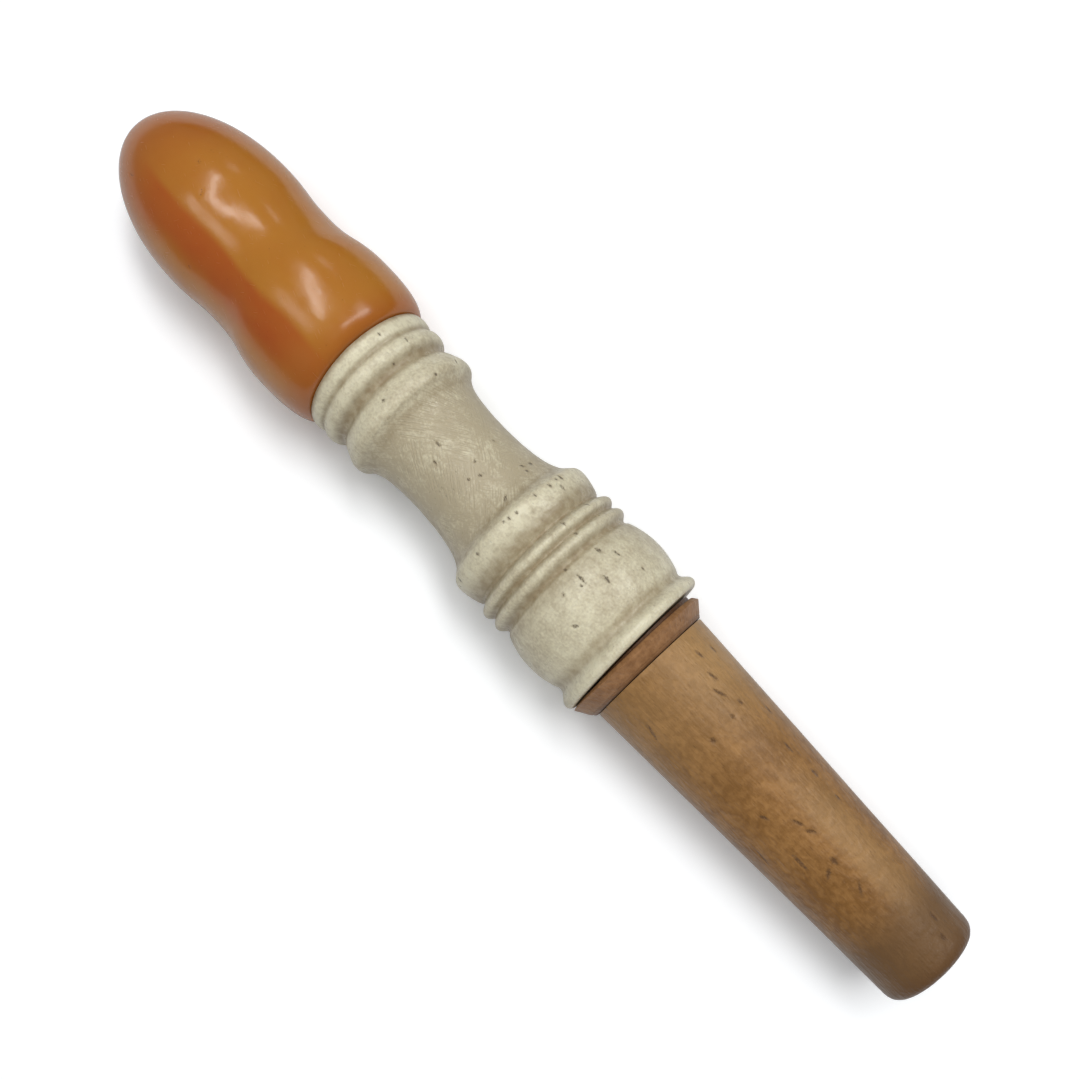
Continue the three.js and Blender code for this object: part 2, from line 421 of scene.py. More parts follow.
class NodeSheet:
    """Lays out a node tree. Each input is a plain value, or another node's output."""

    def __init__(self, tree):
        self.tree = tree

    def node(self, kind, values=None, **settings):
        """Adds a node, makes its settings, and feeds its inputs by name or by number."""
        made = self.tree.nodes.new(kind)
        for name, value in settings.items():
            setattr(made, name, value)
        for key, value in (values or {}).items():
            self.feed(made.inputs[key], value)
        return made

    def feed(self, socket, value):
        """Links a socket to another node's output, or sets its value."""
        if isinstance(value, bpy.types.NodeSocket):
            self.tree.links.new(value, socket)
        elif socket.type == "RGBA" and len(value) == 3:
            socket.default_value = (*value, 1)
        else:
            socket.default_value = value

    def sum(self, operation, *values):
        """A Math node."""
        made = self.node("ShaderNodeMath", dict(enumerate(values)), operation=operation)
        return made.outputs[0]

    def vector(self, operation, *values):
        """A Vector Math node."""
        made = self.node("ShaderNodeVectorMath", dict(enumerate(values)), operation=operation)
        return made.outputs[0]

    def ease(self, value, start, end, low=0.0, high=1.0):
        """Goes smoothly from `low` to `high` while the value goes from `start` to `end`."""
        values = {"Value": value, "From Min": start, "From Max": end, "To Min": low, "To Max": high}
        made = self.node("ShaderNodeMapRange", values, interpolation_type="SMOOTHSTEP")
        return made.outputs["Result"]

    def total(self, start, *parts):
        """Adds parts to a start value; each part is a value and its weight."""
        for value, weight in parts:
            start = self.sum("MULTIPLY_ADD", value, weight, start)
        return start

    def product(self, first, *others):
        """Multiplies values."""
        for value in others:
            first = self.sum("MULTIPLY", first, value)
        return first

    def mix(self, factor, first, second):
        """Mixes two colours."""
        values = {0: factor, 6: first, 7: second}
        return self.node("ShaderNodeMix", values, data_type="RGBA").outputs[2]

    def noise_value(self, place, detail, scale=1):
        """A noise texture."""
        values = {"Vector": place, "Scale": scale, "Detail": detail}
        return self.node("ShaderNodeTexNoise", values).outputs[0]

    def cells(self, place, length, width):
        """A place measured in cells of that length along the muddler and that width across it."""
        size = self.node("ShaderNodeCombineXYZ", {0: length, 1: width, 2: width})
        return self.vector("DIVIDE", place, size.outputs[0])

    def cloud(self, place, detail, softness):
        """Noise that goes from 0 to 1 within `softness` of its middle."""
        low, high = (self.sum(operation, 0.5, softness) for operation in ("SUBTRACT", "ADD"))
        return self.ease(self.noise_value(place, detail), low, high)

    def effect(self, tree, **values):
        """Places one of the shared effects."""
        return self.node("ShaderNodeGroup", values, node_tree=tree).outputs[0]


def shared_effect(name, output, kind, **inputs):
    """Starts a node group; each input is given as its kind of socket, or as a Float's default.

    Returns its sheet, its inputs by name, and the socket of its one output.
    """
    tree = bpy.data.node_groups.new(name, "ShaderNodeTree")
    for title, value in inputs.items():
        plain = isinstance(value, float)
        socket_type = "NodeSocket" + ("Float" if plain else value)
        socket = tree.interface.new_socket(name=title, in_out="INPUT", socket_type=socket_type)
        if plain:
            socket.default_value = value
    tree.interface.new_socket(name=output, in_out="OUTPUT", socket_type="NodeSocket" + kind)
    sheet = NodeSheet(tree)
    return sheet, sheet.node("NodeGroupInput").outputs, sheet.node("NodeGroupOutput").inputs[0]


def streaks_effect(name):
    """Long soft streaks along the muddler, as the fibres of wood and bone run."""
    sheet, given, result = shared_effect(
        name, "Streaks", "Float", Position="Vector", Length=10.0, Width=1.0, Softness=0.2)
    place = sheet.cells(given["Position"], given["Length"], given["Width"])
    sheet.feed(result, sheet.cloud(place, 4, given["Softness"]))
    return sheet.tree


def patches_effect(name):
    """Soft uneven patches."""
    sheet, given, result = shared_effect(
        name, "Patches", "Float", Position="Vector", Size=8.0, Softness=0.2)
    place = sheet.cells(given["Position"], given["Size"], given["Size"])
    sheet.feed(result, sheet.cloud(place, 3, given["Softness"]))
    return sheet.tree


def flecks_effect(name):
    """Short dark flecks along the muddler: the pores of bone, the vessels of wood."""
    sheet, given, result = shared_effect(
        name, "Flecks", "Float", Position="Vector", Length=3.0, Width=1.0, Size=0.3, Share=0.5)
    place = sheet.cells(given["Position"], given["Length"], given["Width"])
    cells = sheet.node("ShaderNodeTexVoronoi", {"Vector": place, "Scale": 1})
    spot = sheet.ease(cells.outputs["Distance"], given["Size"], sheet.product(given["Size"], 0.4))
    draw = sheet.node("ShaderNodeSeparateColor", {0: cells.outputs["Color"]})
    chosen = sheet.sum("LESS_THAN", draw.outputs[0], given["Share"])
    sheet.feed(result, sheet.product(spot, chosen))
    return sheet.tree


def scratches_effect(name):
    """Fine straight scratches that all lean one way on the turned surface."""
    sheet, given, result = shared_effect(
        name, "Scratches", "Float", Surface="Vector", Lean=0.5, Length=4.0, Width=0.3, Share=0.4)
    values = {"Vector": given["Surface"], "Angle": given["Lean"]}
    turned = sheet.node("ShaderNodeVectorRotate", values, rotation_type="Z_AXIS").outputs[0]
    lines = sheet.noise_value(sheet.cells(turned, given["Length"], given["Width"]), 1)
    low = sheet.total(0.68, (given["Share"], -0.3))
    sheet.feed(result, sheet.ease(lines, low, sheet.sum("ADD", low, 0.12)))
    return sheet.tree


def grime_and_shade_effect(name):
    """Dirt and painted shade in the hollows, and the dark inside of each mark."""
    sheet, given, result = shared_effect(
        name, "Colour", "Color", Colour="Color", Hollow=0.0, Mark=0.0, Patches=0.5, Grime="Color",
        Inside="Color", Amount=1.0)
    uneven = sheet.total(0.7, (given["Patches"], 0.3))
    dirt_and_shade_amount = sheet.product(sheet.ease(given["Hollow"], 0.0, 1.0), uneven, given["Amount"])
    dirty_and_shaded = sheet.mix(dirt_and_shade_amount, given["Colour"], given["Grime"])
    sheet.feed(result, sheet.mix(given["Mark"], dirty_and_shaded, given["Inside"]))
    return sheet.tree


# The node groups that the materials share, each built once.
EFFECTS = {
    "Fibre Streaks": streaks_effect,
    "Soft Patches": patches_effect,
    "Flecks": flecks_effect,
    "Scratches": scratches_effect,
    "Grime": grime_and_shade_effect,
}


class Finish(NodeSheet):
    """A material under construction, with the coordinates and marks that every finish reads."""

    def __init__(self, name):
        self.material = bpy.data.materials.new(name)
        self.material.use_nodes = True
        super().__init__(self.material.node_tree)
        self.tree.nodes.clear()
        self.groups = {
            title: bpy.data.node_groups.get(title) or build(title) for title, build in EFFECTS.items()
        }
        place = self.node("ShaderNodeTexCoord").outputs["Object"]
        scale = self.node("ShaderNodeVectorMath", {0: place, "Scale": 1 / MM}, operation="SCALE")
        self.position = scale.outputs[0]
        axes = self.node("ShaderNodeSeparateXYZ", {0: self.position}).outputs
        self.x, self.y, self.z = axes[0], axes[1], axes[2]
        self.surface = self.node("ShaderNodeUVMap", uv_map=UV_NAME).outputs[0]
        self.hollow = self.node("ShaderNodeAttribute", attribute_name="hollow").outputs["Fac"]
        depth = self.node("ShaderNodeAttribute", attribute_name="mark").outputs["Fac"]
        ragged = self.noise_value(self.vector("DIVIDE", self.position, MARK_EDGE_GRAIN), 3)
        self.halo = self.ease(depth, 0.0, 0.8)
        self.mark = self.ease(self.total(depth, (ragged, -2.4)), -0.75, -0.1)

    def streaks(self, length, width, softness=0.2):
        return self.effect(self.groups["Fibre Streaks"], Position=self.position, Length=length,
                           Width=width, Softness=softness)

    def patches(self, size, softness=0.2):
        return self.effect(self.groups["Soft Patches"], Position=self.position, Size=size,
                           Softness=softness)

    def flecks(self, length, width, size, share):
        return self.effect(self.groups["Flecks"], Position=self.position, Length=length, Width=width,
                           Size=size, Share=share)

    def scratches(self, lean, length, width, share):
        return self.effect(self.groups["Scratches"], Surface=self.surface, Lean=math.radians(lean),
                           Length=length, Width=width, Share=share)

    # Darkens the hollows with dirt and painted shade, and paints the inside of each mark.
    def grime_and_shade(self, colour, mark, patches, grime_and_shade, inside, amount):
        return self.effect(self.groups["Grime"], Colour=colour, Hollow=self.hollow, Mark=mark,
                           Patches=patches, Grime=grime_and_shade, Inside=inside, Amount=amount)

    def between(self, start, end, blur):
        """A mask that is 1 between two places along the muddler, in millimetres from the knob's tip."""
        tip = TIP_X / MM
        rise = self.ease(self.x, tip + start - blur, tip + start + blur)
        fall = self.ease(self.x, tip + end - blur, tip + end + blur, 1, 0)
        return self.sum("MULTIPLY", rise, fall)

    def bump(self, height, millimetres):
        """A bump of that height in millimetres."""
        return self.node("ShaderNodeBump", {"Height": height, "Distance": millimetres * MM,
                                            "Strength": 1}).outputs[0]

    def surface_shader(self, **values):
        """Ends the material in its Principled shader; an input's name is written with _ for a space."""
        named = {name.replace("_", " "): value for name, value in values.items()}
        shader = self.node("ShaderNodeBsdfPrincipled", named)
        self.node("ShaderNodeOutputMaterial", {"Surface": shader.outputs[0]})
        return self.material


# ---- Finishes ----


def resin_finish(settings):
    """Polished amber resin, with a sheet of red resin swirled through it."""
    finish = Finish("amber resin")
    wander = finish.noise_value(finish.position, 3, 0.045)
    sheet = finish.total(-9.0, (finish.y, 1.0), (finish.z, 0.25), (wander, 4.0))
    band = finish.product(finish.ease(sheet, -4.4, -2.6, 1, 0), finish.ease(sheet, -14.0, -8.0),
                          finish.between(15, 60, 6))
    cloud = finish.patches(9, 0.25)
    ends = finish.sum("MAXIMUM", finish.between(-20, 18, 10), finish.between(60.0, 70, 3))
    colour = finish.mix(finish.total(0.0, (cloud, 0.3), (ends, 0.9)), settings.amber, settings.deep_amber)
    swirl = finish.product(band, finish.total(1.0, (cloud, -0.25)))
    colour = finish.mix(swirl, colour, settings.red)
    pits = finish.flecks(1.8, 1.8, 0.09, 0.5)
    dark = finish.sum("MAXIMUM", finish.product(finish.mark, 0.7), finish.product(pits, 0.3))
    colour = finish.mix(dark, colour, settings.nick)
    along, across = finish.scratches(20, 3, 0.25, 0.15), finish.scratches(-35, 2.5, 0.25, 0.1)
    fine = finish.sum("MAXIMUM", along, across)
    rough = finish.total(settings.gloss - 0.05, (finish.patches(3, 0.3), 0.1), (fine, 0.08))
    relief = finish.total(finish.patches(4, 0.4), (finish.patches(1.3, 0.4), 0.16), (fine, -0.08))
    return finish.surface_shader(
        Base_Color=colour, Roughness=rough, Normal=finish.bump(relief, 0.025), IOR=1.54,
        Subsurface_Weight=0.1, Subsurface_Radius=(1.0, 0.35, 0.1), Subsurface_Scale=0.002)


def bone_finish(settings):
    """Turned bone: ivory, darker over the waist and, less, over the beads and belly, with dirt and painted
    shade in the grooves, pores and tool marks.
    """
    finish = Finish("turned bone")
    mottle = finish.patches(1.4, 0.22)
    speckle = finish.patches(0.45, 0.25)
    fibres = finish.streaks(5, 0.6, 0.2)
    up, down = (finish.scratches(lean, 4, 0.3, 0.6) for lean in (42, -42))
    area = finish.patches(8, 0.08)
    filed = finish.total(finish.product(up, area), (down, finish.sum("SUBTRACT", 1.0, area)))
    filed = finish.product(filed, finish.between(77, 101, 2))
    # Darker over the waist and, less, over the beads and belly, by place along the grip, and in random
    # patches.
    shade = finish.total(
        -0.58, (finish.between(76, 101, 3), 0.75), (finish.between(106, 128, 2), 0.28),
        (finish.patches(6, 0.2), 0.45), (mottle, 0.35), (speckle, 0.5), (fibres, 0.15), (filed, 0.45))
    colour = finish.mix(shade, settings.ivory, settings.shaded)
    pores = finish.product(finish.flecks(1.6, 0.8, 0.2, 0.4), finish.patches(6, 0.15))
    spots = finish.product(finish.flecks(4.5, 3.2, 0.3, 0.2), mottle)
    stained = finish.sum("MAXIMUM", finish.halo, spots)
    colour = finish.mix(finish.product(stained, 0.35), colour, settings.grime_and_shade)
    inside = finish.sum("MAXIMUM", finish.mark, finish.product(pores, 0.35))
    colour = finish.grime_and_shade(colour, finish.product(inside, 0.75), mottle, settings.grime_and_shade, settings.pore, 0.95)
    lines = finish.node("ShaderNodeTexNoise", {"W": finish.x, "Scale": 2.2, "Detail": 3},
                        noise_dimensions="1D").outputs[0]
    relief = finish.total(0.0, (lines, 0.8), (fibres, 0.35), (filed, -1.0), (inside, -1.5),
                          (mottle, 0.6), (speckle, 0.4))
    rough = finish.total(settings.gloss - 0.06, (mottle, 0.16), (filed, 0.1))
    return finish.surface_shader(
        Base_Color=colour, Roughness=rough, Normal=finish.bump(relief, 0.035), IOR=1.54,
        Subsurface_Weight=0.08, Subsurface_Radius=(1.0, 0.8, 0.5), Subsurface_Scale=0.001)


def wood_finish(name, light, dark, stain, stain_at, dust_and_painted_sheen, settings):
    """Worn hardwood with its grain along the muddler, darker past `stain_at`.

    With `dust_and_painted_sheen` it has a pale bloom and a painted sheen highlight in a band on the +Y
    side. It is also paler near the collar, twice as much on the +Y side where the lights lean: that extra
    paleness is painted light.
    """
    finish = Finish(name)
    fibres = finish.streaks(2.6, 0.5, 0.22)
    cloud = finish.patches(7, 0.16)
    mottle = finish.patches(1.3, 0.2)
    shade = finish.total(
        -0.05, (finish.streaks(30, 2.6, 0.2), 0.25), (cloud, 0.35), (mottle, 0.5),
        (finish.patches(0.5, 0.25), 0.2), (fibres, 0.2))
    colour = finish.mix(shade, light, dark)
    # Painted sheen: a pale band on the +Y side from 164 to 194 mm, where a light shows in the polish. Near
    # the collar the wood is paler, twice as much on the +Y side where the lights lean, which is painted
    # light.
    band = finish.product(finish.ease(finish.y, 0.5, 3.5), finish.ease(finish.y, 9, 5.5),
                          finish.between(164, 194, 8), dust_and_painted_sheen * 2)
    side = finish.total(0.3, (finish.ease(finish.y, -2, 9), 0.3))
    paleness_and_painted_sheen = finish.total(band, (finish.product(side, finish.between(130, 150, 14)), dust_and_painted_sheen * 6))
    colour = finish.mix(paleness_and_painted_sheen, colour, settings.pale)
    worn = finish.product(finish.between(stain_at, PAST_END, 5), 0.85)
    colour = finish.mix(worn, colour, stain)
    # The working end's rounded edge is darkened with the check colour.
    dark_end_edge = finish.product(finish.between(198, PAST_END, 2.5), 0.6)
    colour = finish.mix(dark_end_edge, colour, settings.check)
    vessels = finish.flecks(1.8, 0.5, 0.3, 0.5)
    inside = finish.sum("MAXIMUM", finish.mark, finish.product(vessels, 0.3))
    colour = finish.mix(finish.product(finish.halo, 0.4), colour, stain)
    # Dirt and painted shade in the hollows, such as the collar's neck, and the dark inside of each mark and
    # vessel.
    colour = finish.grime_and_shade(colour, finish.product(inside, 0.65), cloud, settings.check, settings.check, 1.4)
    rough = finish.total(settings.gloss - 0.08, (fibres, 0.14))
    relief = finish.total(0.0, (fibres, 0.7), (inside, -1.0), (mottle, 0.8))
    return finish.surface_shader(
        Base_Color=colour, Roughness=rough, Normal=finish.bump(relief, 0.06), IOR=1.5,
        Sheen_Weight=dust_and_painted_sheen, Sheen_Roughness=0.4)


def steel_finish(settings):
    """Plain steel with light rust in the hollows."""
    finish = Finish("plain steel")
    cloud = finish.patches(2.5, 0.2)
    fine = finish.streaks(2.0, 0.2, 0.3)
    colour = finish.grime_and_shade(settings.steel, finish.mark, cloud, settings.rust, settings.rust, 0.8)
    rough = finish.total(settings.gloss - 0.05, (cloud, 0.15))
    return finish.surface_shader(
        Base_Color=colour, Roughness=rough, Metallic=1.0, Normal=finish.bump(fine, 0.008))


# ---- Pieces ----

# How many sides each turned piece has.
KNOB_SIDES = 224
BONE_SIDES = 316
WOOD_SIDES = 300
SMALL_SIDES = 96
ROD_SIDES = 24

# The knob's waist lies this much nearer the tip on top; the shift comes and goes between these places.
KNOB_TOP_SHIFT = 2.6
TOP_SHIFT_COMES = (21, 32)
TOP_SHIFT_GOES = (56, 40)
FULL_LUMPS_RADIUS = 6

# How far the bone's two joints stray from square, the first on the -Y side only, and where that fades.
TOP_SKEW = 0.5
TOP_SKEW_ON_KNOB = (58, 63)
TOP_SKEW_ON_BONE = (67, 64)
LIP_SKEW = 0.4
LIP_SKEW_ON_BONE = (126, 130)

# How far the collar's front and crest lean back to the bone on the -Y side, and what sits off centre.
COLLAR_FRONT_LEAN = 0.1
COLLAR_CREST_LEAN = 0.6
COLLAR_LEAN_END = 134.4
COLLAR_OFFSET = 0.3
BELLY_OFFSET = 0.28
BELLY_OFFSET_COMES = (95, 125)

# The size and share of each unevenness of the turned bone, and the wear of the pestle.
BONE_UNEVENNESS = ((11, 1.0), (2.2, 0.35))
PESTLE_WEAR = 0.09
WEAR_LENGTH = 24
WEAR_WIDTH = 9

# Taken off the noise, so that most of a worn surface lies inside its outline.
NOISE_TOP = 0.6

# Where the pestle's stain begins.
STAIN_AT = 187

# Nicks in the resin: at, angle, length, width, depth, slant.
KNOB_MARKS = [Mark(*row) for row in (
    (20.9, 15, 1.3, 0.9, 0.05), (20.2, 28, 1.8, 0.7, 0.04, -0.3), (27.5, 1, 2.2, 0.7, 0.06, -1.0),
    (11.8, -31, 2.4, 0.6, 0.05, 0.4), (32.6, -46, 1.3, 0.7, 0.05), (53.3, 11, 1.1, 0.8, 0.05),
)]

# Where the bone is darkened with dirt and painted shade: in the joint, and in each groove and on the slope
# beside it.
BONE_DIRT_AND_SHADE = (
    Dirt(63.0, 0.9, 0.8),
    Dirt(66.35, 0.7, 0.75),
    Dirt(70.8, 1.4, 1.0),
    Dirt(77.8, 1.5, 0.2),
    Dirt(100.7, 1.0, 0.55),
    Dirt(107.3, 2.0, 0.75),
    Dirt(111.35, 0.8, 0.85),
    Dirt(114.6, 1.1, 0.85),
    Dirt(116.2, 1.8, 0.45),
    Dirt(127.3, 1.3, 0.6),
)

# Pores in the bone that are large enough to feel.
BONE_MARKS = [Mark(*row) for row in (
    # rings and ogee
    (64.7, 25, 1.2, 0.7, 0.07), (68.0, 39, 1.8, 0.7, 0.08, -0.2), (70.1, 19, 0.9, 0.7, 0.06),
    (73.9, -7, 1.0, 0.9, 0.08), (76.1, 36, 1.0, 0.9, 0.07), (75.3, 64, 1.7, 0.7, 0.07, -0.3),
    # waist
    (84.9, 0, 2.0, 0.9, 0.08), (86.7, -14, 1.4, 0.7, 0.06), (91.3, 14, 1.2, 0.9, 0.06, -0.8),
    (93.7, 8, 1.2, 0.8, 0.06, 0.5), (90.3, 44, 1.0, 0.7, 0.06, 0.5), (92.9, -2, 1.0, 0.8, 0.06),
    (97.3, 53, 1.3, 1.0, 0.08), (97.0, 44, 1.2, 1.0, 0.08, 0.5), (98.2, 42, 1.1, 0.8, 0.07),
    (99.7, 9, 1.5, 1.0, 0.08, -0.8),
    # big bead
    (103.1, 48, 2.1, 0.8, 0.09), (102.9, 44, 1.2, 0.7, 0.07), (103.2, 36, 1.4, 0.9, 0.09),
    (104.7, 43, 1.8, 0.8, 0.08), (103.0, 23, 1.2, 0.8, 0.08), (103.2, 6, 1.1, 0.8, 0.08),
    (103.0, 0, 1.3, 0.8, 0.08), (102.8, -4, 0.9, 0.7, 0.07), (103.3, -32, 1.1, 0.9, 0.09),
    (103.3, -64, 1.8, 0.8, 0.08),
    # small beads
    (109.4, 48, 1.5, 0.6, 0.06), (109.5, 23, 1.6, 0.7, 0.08), (112.0, 25, 1.2, 0.8, 0.07),
    # belly
    (116.5, 28, 2.2, 1.0, 0.09, 0.1), (118.8, 35, 2.6, 0.7, 0.07, 0.1), (121.0, 17, 3.2, 0.9, 0.1),
    (117.9, 6, 3.3, 0.8, 0.08), (118.9, 3, 1.0, 0.8, 0.07), (117.9, -9, 1.1, 0.9, 0.08),
    (122.8, -17, 1.3, 1.2, 0.09, 0.5), (123.4, 41, 1.3, 0.7, 0.06), (115.2, 3, 1.0, 0.9, 0.07),
)]

# Checks and dents in the pestle.
PESTLE_MARKS = [Mark(*row) for row in (
    (140.1, 56, 2.6, 0.7, 0.08), (139.3, 39, 2.6, 0.8, 0.08, 0.2), (143.2, 34, 2.8, 0.8, 0.08, 0.2),
    (145.8, 28, 3.4, 0.9, 0.1, 0.4), (149.1, 37, 1.6, 0.9, 0.1), (149.8, 22, 1.5, 0.8, 0.08),
    (150.4, -4, 1.5, 1.2, 0.14), (153.1, 57, 2.6, 0.7, 0.07), (142.9, -38, 5.0, 0.8, 0.07, -0.3),
    (164.3, -19, 2.0, 0.9, 0.08, 0.4), (159.3, 43, 2.8, 0.7, 0.07), (165.0, 46, 2.4, 0.9, 0.08),
    (170.3, 47, 2.0, 0.7, 0.07), (168.3, 0, 2.6, 0.8, 0.07, 0.4), (170.6, 3, 2.2, 1.0, 0.08, 0.6),
    (176.1, 0, 2.2, 1.0, 0.08), (177.0, -12, 1.8, 1.3, 0.1, -0.8), (172.9, -24, 4.6, 0.9, 0.08),
    (181.7, 0, 3.2, 0.8, 0.07, -0.6), (192.7, 35, 2.6, 0.9, 0.1), (195.6, 27, 2.0, 1.2, 0.06),
    (168.9, -51, 4.6, 0.7, 0.06, -0.1),
)]


def eased(value, start, end):
    """Goes smoothly from 0 to 1 while the value goes from start to end."""
    t = min(1, max(0, (value - start) / (end - start)))
    return t * t * (3 - 2 * t)


def knob_section(settings):
    """The knob's section: deeper than wide, a little lumpy, and flat underneath."""
    height = settings.lump_height / MM
    size = settings.lump_size / MM

    def section(at, radius, angle):
        if radius > ROD_HOLE_RADIUS:
            spot = round_section(at, radius, angle)
            radius += height * noise.noise(spot / size) * min(1, radius / FULL_LUMPS_RADIUS)
        shift = -KNOB_TOP_SHIFT * eased(at, *TOP_SHIFT_COMES) * eased(at, *TOP_SHIFT_GOES)
        shift *= max(0, math.cos(angle)) ** 2
        shift += TOP_SKEW * max(0, -math.sin(angle)) * eased(at, *TOP_SKEW_ON_KNOB)
        point = round_section(at + shift, radius, angle)
        point.z = max(point.z * KNOB_DEPTH_SCALE, -AXIS_HEIGHT / MM)
        return point

    return section


def bone_section(settings):
    """The bone's section: a little out of round, off centre towards the lip, and both ends cut askew."""
    wobble = settings.wobble / MM

    def section(at, radius, angle):
        if radius <= SOCKET_RADIUS:
            return round_section(at, radius, angle)
        spot = round_section(at, radius, angle)
        uneven = sum(share * noise.noise(spot / size) for size, share in BONE_UNEVENNESS)
        radius += wobble * (uneven - NOISE_TOP)
        shift = TOP_SKEW * max(0, -math.sin(angle)) * eased(at, *TOP_SKEW_ON_BONE)
        shift -= LIP_SKEW * math.sin(angle) * eased(at, *LIP_SKEW_ON_BONE)
        point = round_section(at + shift, radius, angle)
        point.y += BELLY_OFFSET * eased(at, *BELLY_OFFSET_COMES)
        return point

    return section


def collar_section(at, radius, angle):
    """The collar's section: off centre, its neck askew like the lip, and its crest leaning to it."""
    side = max(0, -math.sin(angle))
    lean = COLLAR_FRONT_LEAN + COLLAR_CREST_LEAN * eased(at, COLLAR_START[0], COLLAR_CREST[0])
    shift = -side * lean * eased(at, COLLAR_LEAN_END, COLLAR_CREST[0])
    if at <= COLLAR_NECK[0]:
        shift = -LIP_SKEW * math.sin(angle)
    point = round_section(at + shift, radius, angle)
    point.y -= COLLAR_OFFSET * eased(radius, SOCKET_RADIUS, COLLAR_CREST[1])
    return point


def pestle_section(at, radius, angle):
    """The pestle's section, worn a little out of round."""
    if radius > TENON_RADIUS and at > SHOULDER[0]:
        spot = round_section(at, radius, angle)
        spot = Vector((at / WEAR_LENGTH, spot.y / WEAR_WIDTH, spot.z / WEAR_WIDTH))
        radius += PESTLE_WEAR * (noise.noise(spot) - NOISE_TOP)
    return round_section(at, radius, angle)


def knob_mesh(settings):
    """Two polished lobes, with a blind hole for the rod."""
    outline = Outline(0, 0, step=0.4).nose(TIP_LOBE).slope(KNOB_WAIST).slope(BASE_LOBE)
    outline.to(*KNOB_BASE_ROUNDING, KNOB_BASE)
    rings = outline.rings() + inner_rings(
        (KNOB_BASE[0], ROD_HOLE_RADIUS), (ROD_HOLE_END, ROD_HOLE_RADIUS), (ROD_HOLE_END, 0))
    return turned_mesh("knob_polished", rings, KNOB_SIDES, knob_section(settings), KNOB_MARKS)


def bone_mesh(settings):
    """Rings, ogee, waist, beads, belly and lip, then the socket and the cavity."""
    outline = Outline(BONE_TOP[0], BONE_TOP[1] - 1.5).to(BONE_TOP)
    outline.bead(RING_1_END, RING_CREST).groove(RING_2_START, RING_GROOVE)
    outline.bead(RING_2_END, RING_CREST).groove(OGEE_START, OGEE_GROOVE)
    outline.to((73.6, 12.9), (74.3, 13.4), (75.4, 13.35)).to((75.9, 13.33), OGEE_EDGE)
    outline.to((77.1, 12.0), (78.6, 11.2), (80.4, 10.85)).to((83, 10.4), (86, 10.3), GRIP_WAIST)
    outline.to((95, 10.4), (99.0, 11.2), (100.9, 12.7)).to((101.5, 13.4), BIG_BEAD_EDGE)
    outline.softened(0.15).bead(BIG_BEAD_END, BIG_BEAD_CREST, 0.15)
    outline.groove(SMALL_BEAD_1_START, BIG_BEAD_GROOVE)
    outline.bead(SMALL_BEAD_1_END, SMALL_BEAD_CREST).groove(SMALL_BEAD_2_START, SMALL_BEAD_GROOVE)
    outline.bead(SMALL_BEAD_2_END, SMALL_BEAD_CREST).groove(BELLY_START, BELLY_GROOVE)
    outline.bead(BELLY_END, BELLY_CREST).groove(LIP_START, LIP_GROOVE)
    outline.bead(BONE_END, LIP_CREST, 0.6).to((BONE_END[0], BONE_END[1] - 1.8)).softened(0.32)
    rings = outline.rings(BONE_DIRT_AND_SHADE) + inner_rings(
        (BONE_END[0], SOCKET_RADIUS), (SOCKET_AT, SOCKET_RADIUS), (SOCKET_AT, CAVITY_RADIUS),
        (BONE_TOP[0], CAVITY_RADIUS))
    return turned_mesh("grip_turned", rings, BONE_SIDES, bone_section(settings), BONE_MARKS, closed=True)


def collar_mesh():
    """A ring with a narrow bevel towards the bone, and a steep cone with fine turned lines."""
    outline = Outline(COLLAR_START[0], COLLAR_NECK[1], step=0.15).to(COLLAR_START).to(COLLAR_CREST)
    outline.to((134.4, 12.38)).to((134.45, 12.2)).to((134.6, 12.2)).to((134.65, 12.15)).to(COLLAR_END)
    outline.to((COLLAR_END[0], COLLAR_END[1] - 1)).softened(0.12)
    # The neck, in the gap between the lip and the collar, is painted fully dark: painted shade.
    neck = [Ring(at, COLLAR_NECK[1], 1.0, False) for at in (COLLAR_NECK[0], COLLAR_START[0] - 0.05)]
    bore = inner_rings((COLLAR_END[0], SOCKET_RADIUS), (COLLAR_NECK[0], SOCKET_RADIUS))
    rings = neck + outline.rings() + bore
    return turned_mesh("collar_turned", rings, WOOD_SIDES, collar_section, closed=True)


def pestle_mesh():
    """Tenon, shoulder, straight taper and rounded working end."""
    end = WORKING_EDGE[1]
    outline = Outline(SHOULDER[0], SHOULDER[1] - 1, step=0.4).to(SHOULDER).to(WORKING_EDGE)
    outline.to((199.1, end), (LENGTH, 8.4), (LENGTH, WORKING_FACE_RADIUS)).to((LENGTH, 0.3)).softened(0.25)
    tenon = inner_rings((TENON_AT, 0), (TENON_AT, TENON_RADIUS - 0.8), (TENON_AT + 0.8, TENON_RADIUS),
                        (SHOULDER[0], TENON_RADIUS))
    rings = tenon + outline.rings() + inner_rings((LENGTH, 0))
    return turned_mesh("pestle_turned", rings, WOOD_SIDES, pestle_section, PESTLE_MARKS)


def thread_section(at, radius, angle):
    """The section of a screwed rod: a groove that runs round it once in each pitch."""
    turn = (at / THREAD_PITCH - angle / (2 * math.pi)) % 1
    if radius > ROD_RADIUS - 0.1:
        radius -= THREAD_DEPTH * abs(2 * turn - 1)
    return round_section(at, radius, angle)


def span(node):
    """Where a CAD node starts and ends along the axis, in millimetres from the knob's tip."""
    low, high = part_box(node)
    return (low.x - TIP_X) / MM, (high.x - TIP_X) / MM


